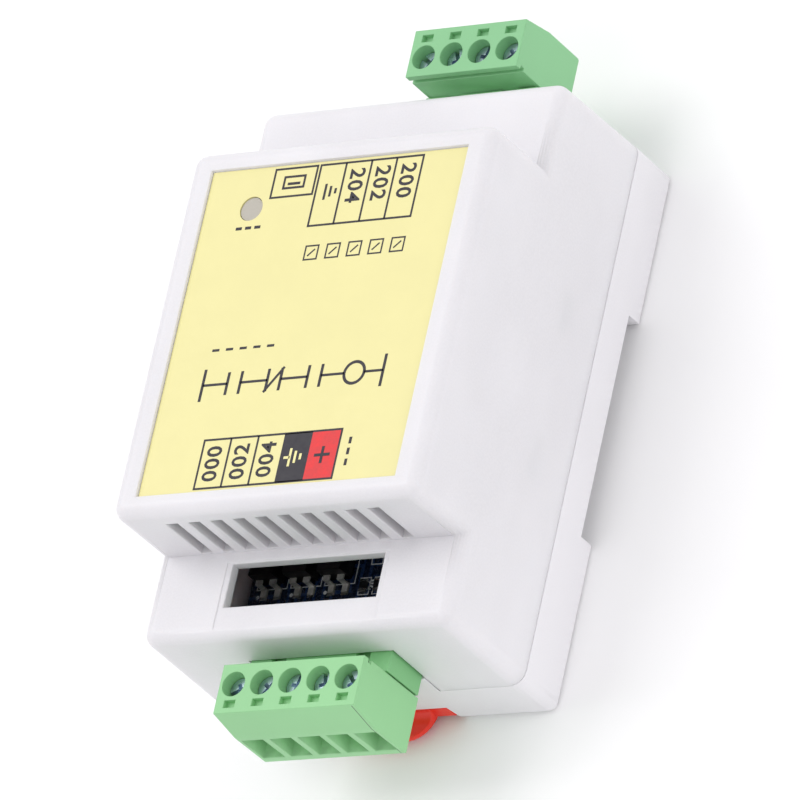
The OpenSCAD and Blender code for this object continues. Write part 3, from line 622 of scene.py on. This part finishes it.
class MODULE_OT_terminals(bpy.types.Operator):
    """Round the plugs and headers, and plate their screws, cages and pins"""
    bl_idname = "module.terminals"
    bl_label = "Terminals"

    def execute(self, context):
        sizes, colours = settings()
        width = sizes.plug_edge / MM
        skin = {"rough": (0.4, 0.52), "grain": 0.25, "depth": 0.008}
        # painted shade: the output plug takes the terminal plastic darker, as it faces away from
        # the light
        shaded_terminal_plastic = moulded_plastic("Terminal plastic in painted shade", colours.output, **skin)
        jointed = moulded_plastic("Jointed terminal plastic", colours.terminals,
                                  seam=(12.3, 28.9), **skin)
        header = moulded_plastic("Header plastic", colours.headers, **skin)
        for side, plastic in (("input", jointed), ("output", shaded_terminal_plastic)):
            plug, socket = f"{side}_plug", f"{side}_header"
            softened(plug, f"{plug}_shell", f"{plug}_body", plastic, width)
            softened(socket, f"{socket}_shell", "housing", header, width)
        screw = bright_metal("Zinc screw", (0.80, 0.86, 0.93), rough=(0.22, 0.38), grain=0.3,
                             depth=0.006, stretch=(1.0, 1.0, 1.0), dull=0.78)
        cage = bright_metal("Nickel cage", (0.72, 0.71, 0.68), rough=(0.22, 0.4))
        tinned = bright_metal("Tinned brass", (0.76, 0.74, 0.69), rough=(0.25, 0.45))
        for side, poles in (("input", 5), ("output", 4)):
            for i in range(1, poles + 1):
                paint(f"{side}_screw_{i}", screw)
                paint(f"{side}_cage_{i}", cage)
            paint(f"{side}_contacts", tinned)
            paint(f"{side}_header_pins", tinned)
        return {"FINISHED"}


class MODULE_OT_clip(bpy.types.Operator):
    """Round the rail clip and give it its plastic"""
    bl_idname = "module.clip"
    bl_label = "Rail clip"

    def execute(self, context):
        sizes, colours = settings()
        red = moulded_plastic("Clip plastic", colours.clip, rough=(0.28, 0.4), grain=0.5,
                              depth=0.008, cloud=0.93, coat=0.15)
        softened("din_clip", "clip_shell", "rail_clip", red, sizes.clip_edge / MM)
        return {"FINISHED"}


def print_legend(legend):
    """The printed outlines and marks round the parts of the board."""
    for x in OPTOCOUPLER_X:
        legend.outline((x - 2.75, -29.2), (x + 2.75, -21.2), LEGEND_LINE)
        legend.disc((x - 2.35, -30.4), 0.32)
    for x in (-1.4, 1.2, 3.8, 6.4):
        legend.outline((x - 0.95, -31.2), (x + 0.95, -28.4), 0.14)
    legend.numeral("20", (0.0, -29.6), 1.1, 90)
    legend.outline((-1.0, -26.2), (1.0, -24.6), LEGEND_LINE)
    legend.outline((-4.6, -0.6), (6.6, 10.6), LEGEND_LINE)
    for place in CAN_PLACES:
        legend.ring(place, 4.6, LEGEND_LINE)


def optocoupler_pads(top):
    """Solder pads under the optocouplers' leads, with a soft rim."""
    pads = bmesh.new()
    for x in OPTOCOUPLER_X:
        for lead in (-1.27, 1.27):
            for y in (-30.0, -20.4):
                block(pads, (x + lead - 0.7, y - 1.0, top), (x + lead + 0.7, y + 1.0, top + 0.05))
    rim = [e for e in pads.edges if all(v.co.z > BOARD_TOP + 0.01 * MM for v in e.verts)]
    bmesh.ops.bevel(pads, geom=rim, affect="EDGES", offset=0.03 * MM, offset_type="OFFSET",
                    segments=1, profile=0.5, material=-1)
    return pads


def chip_caps(top):
    """Soldered ends that wrap round the chip resistors and capacitors."""
    skin, reach = 0.03, 0.42
    ends = bmesh.new()
    for x, y, count, step, wide, long, tall in CHIP_ROWS:
        half = wide / 2 + skin
        for i in range(count):
            mid = x + i * step
            for side in (-1, 1):
                y0, y1 = sorted((y + side * (long / 2 + skin), y + side * (long / 2 - reach)))
                block(ends, (mid - half, y0, top), (mid + half, y1, top + tall + skin))
    return ends


class MODULE_OT_board(bpy.types.Operator):
    """Finish the circuit board: laminate, legend, pads and chip ends"""
    bl_idname = "module.board"
    bl_label = "Board"

    def execute(self, context):
        _, colours = settings()
        top = BOARD_TOP / MM
        copper = shaded(colours.board, 1.7)
        paint("main_board", board_laminate("Board laminate", colours.board, copper))

        legend = Print(top, LEGEND_THICK)
        print_legend(legend)
        legend.lay("board_legend", "board_laminate", ink("Board legend", (0.96, 0.97, 0.98)))

        solder = bright_metal("Solder", (0.78, 0.78, 0.76), rough=(0.18, 0.38), grain=0.4,
                              depth=0.02, stretch=(1.0, 1.0, 1.0))
        finished("board_pads", optocoupler_pads(top), "housing", solder)
        finished("chip_ends", chip_caps(top), "housing", solder)
        return {"FINISHED"}


def can_marks():
    """The dark segment printed on the top of each electrolytic can."""
    tops = Print(BOARD_TOP / MM + CAN_TOP, 0.02)
    for place in CAN_PLACES:
        tops.disc(place, 3.3, 40)
    # what is left of each disc is the part more than 0.9 mm past the can's middle
    bare = [v for v in tops.bm.verts if v.co.x < (CAN_PLACES[0][0] + 0.9) * MM]
    bmesh.ops.delete(tops.bm, geom=bare, context="VERTS")
    bmesh.ops.holes_fill(tops.bm, edges=tops.bm.edges, sides=0)
    return tops


class MODULE_OT_components(bpy.types.Operator):
    """Give the parts on the board their own finishes"""
    bl_idname = "module.components"
    bl_label = "Board parts"

    def execute(self, context):
        resin = moulded_plastic("Moulding resin", (0.085, 0.083, 0.085), rough=(0.45, 0.62),
                                grain=0.15, depth=0.015, cloud=0.8)
        for node in ("processor", "input_optocouplers", "output_transistors", "regulator",
                     "protection_diode", "capacitor_bases", "port_tongue"):
            paint(node, resin)
        leads = bright_metal("Tinned lead", (0.95, 0.94, 0.92), rough=(0.3, 0.5), grain=0.25)
        set_value(leads, "Metallic", 0.35)
        for node in ("processor_leads", "optocoupler_leads", "transistor_leads", "regulator_tab"):
            paint(node, leads)
        nickel = bright_metal("Nickel shell", (0.74, 0.73, 0.71), rough=(0.2, 0.36))
        paint("port_shell", nickel)
        paint("crystal", nickel)
        paint("board_screws", bright_metal("Zinc plate", (0.78, 0.78, 0.75), rough=(0.2, 0.38)))
        paint("capacitor_cans", bright_metal("Aluminium can", (0.82, 0.82, 0.83),
                                             rough=(0.24, 0.4), stretch=(1.0, 1.0, 0.2)))
        paint("inductor_core", speckled("Ferrite", (0.15, 0.15, 0.155), (0.3, 0.3, 0.31)))
        paint("inductor_winding", bright_metal("Enamelled copper", (0.62, 0.33, 0.16),
                                               rough=(0.2, 0.35), grain=0.8, dull=0.7))
        paint("chip_resistors", speckled("Resistor glaze", (0.09, 0.09, 0.1), (0.2, 0.2, 0.22),
                                         rough=(0.3, 0.5), depth=0.005))
        paint("chip_capacitors", speckled("Capacitor ceramic", (0.62, 0.48, 0.34),
                                          (0.7, 0.58, 0.45), rough=(0.35, 0.5), depth=0.005))
        paint("error_led", moulded_plastic("Indicator body", (0.86, 0.86, 0.83),
                                           rough=(0.3, 0.42), grain=0.3, depth=0.005))
        can_marks().lay("capacitor_marks", "black_resin", resin)
        return {"FINISHED"}


def add_floor(scene):
    """A wide sheet of white paper just under the module."""
    sheet = bmesh.new()
    bmesh.ops.create_grid(sheet, x_segments=1, y_segments=1, size=4.0)
    mesh = bpy.data.meshes.new("floor")
    sheet.to_mesh(mesh)
    sheet.free()
    floor = bpy.data.objects.new("floor", mesh)
    floor.location.z = -0.05 * MM
    scene.collection.objects.link(floor)
    paper = Finish("Floor paper")
    paper.colour(paper.mix(paper.noise(300, 2), (0.99, 0.99, 0.99), (0.995, 0.995, 0.995)))
    set_value(paper.material, "Roughness", 0.9)
    set_value(paper.material, "Specular IOR Level", 0.1)
    mesh.materials.append(paper.material)


def add_world(scene):
    """A pale even surround."""
    world = bpy.data.worlds.new("Studio")
    scene.world = world
    world.use_nodes = True
    sky = world.node_tree.nodes["Background"]
    sky.inputs["Color"].default_value = linear((0.995, 0.99, 1.0))
    sky.inputs["Strength"].default_value = 0.72


def add_light(scene, name, place, size, power):
    """A square soft light that faces the middle of the module."""
    light = bpy.data.lights.new(name, "AREA")
    light.size = size
    light.energy = power
    lamp = bpy.data.objects.new(name, light)
    lamp.location = place
    aim = Vector((0, 0, 0.02)) - Vector(place)
    lamp.rotation_euler = aim.to_track_quat("-Z", "Y").to_euler()
    scene.collection.objects.link(lamp)


def add_camera(scene):
    """A long lens far above the input end and the +X side; its up lies between +Y and +Z."""
    camera = bpy.data.cameras.new("camera")
    camera.lens = 476.36
    camera.sensor_width = 36.0
    camera.clip_start = 0.05
    camera.clip_end = 20.0
    eye = bpy.data.objects.new("camera", camera)
    back = Vector((0.5616, -0.4067, 0.7205)).normalized()
    up = back.cross(Vector((0.8243, 0.1996, -0.5298))).normalized()
    right = up.cross(back).normalized()
    turn = Matrix((right, up, back)).transposed().to_4x4()
    eye.matrix_world = Matrix.Translation(Vector((894.6, -648.15, 1165.5)) * MM) @ turn
    scene.collection.objects.link(eye)
    scene.camera = eye


class MODULE_OT_stage(bpy.types.Operator):
    """Set out the floor, the soft lights and the camera"""
    bl_idname = "module.stage"
    bl_label = "Stage"

    def execute(self, context):
        scene = bpy.context.scene
        scene.view_settings.view_transform = "Standard"
        add_floor(scene)
        add_world(scene)
        add_light(scene, "key", (-1.2, 0.3, 2.2), 1.5, 21.0)
        add_light(scene, "side", (1.3, 0.1, 0.6), 0.9, 3.4)
        add_light(scene, "front", (0.1, -1.1, 1.5), 0.9, 2.4)
        add_light(scene, "back", (0.3, 1.3, 0.7), 0.9, 1.2)
        add_camera(scene)
        return {"FINISHED"}


class MODULE_PT_panel(bpy.types.Panel):
    """Lists the module's building steps"""
    bl_label = "Controller module"
    bl_idname = "MODULE_PT_panel"
    bl_space_type = "VIEW_3D"
    bl_region_type = "UI"
    bl_category = "Controller"

    def draw(self, context):
        for group in settings():
            for key in group.__annotations__:
                self.layout.prop(group, key)
        for step in STEPS:
            self.layout.operator(step.bl_idname)


STEPS = (MODULE_OT_stage, MODULE_OT_housing, MODULE_OT_label, MODULE_OT_terminals, MODULE_OT_clip,
         MODULE_OT_board, MODULE_OT_components)
CLASSES = (MODULE_PG_colours, MODULE_PG_sizes) + STEPS + (MODULE_PT_panel,)


def register():
    for item in CLASSES:
        bpy.utils.register_class(item)
    bpy.types.Scene.module_colours = bpy.props.PointerProperty(type=MODULE_PG_colours)
    bpy.types.Scene.module_sizes = bpy.props.PointerProperty(type=MODULE_PG_sizes)


def unregister():
    del bpy.types.Scene.module_sizes
    del bpy.types.Scene.module_colours
    for item in reversed(CLASSES):
        bpy.utils.unregister_class(item)


def main():
    """Builds the stage and the visual model."""
    register()
    bpy.ops.module.stage()
    bpy.ops.module.housing()
    bpy.ops.module.label()
    bpy.ops.module.terminals()
    bpy.ops.module.clip()
    bpy.ops.module.board()
    bpy.ops.module.components()


if __name__ == "__main__":
    main()
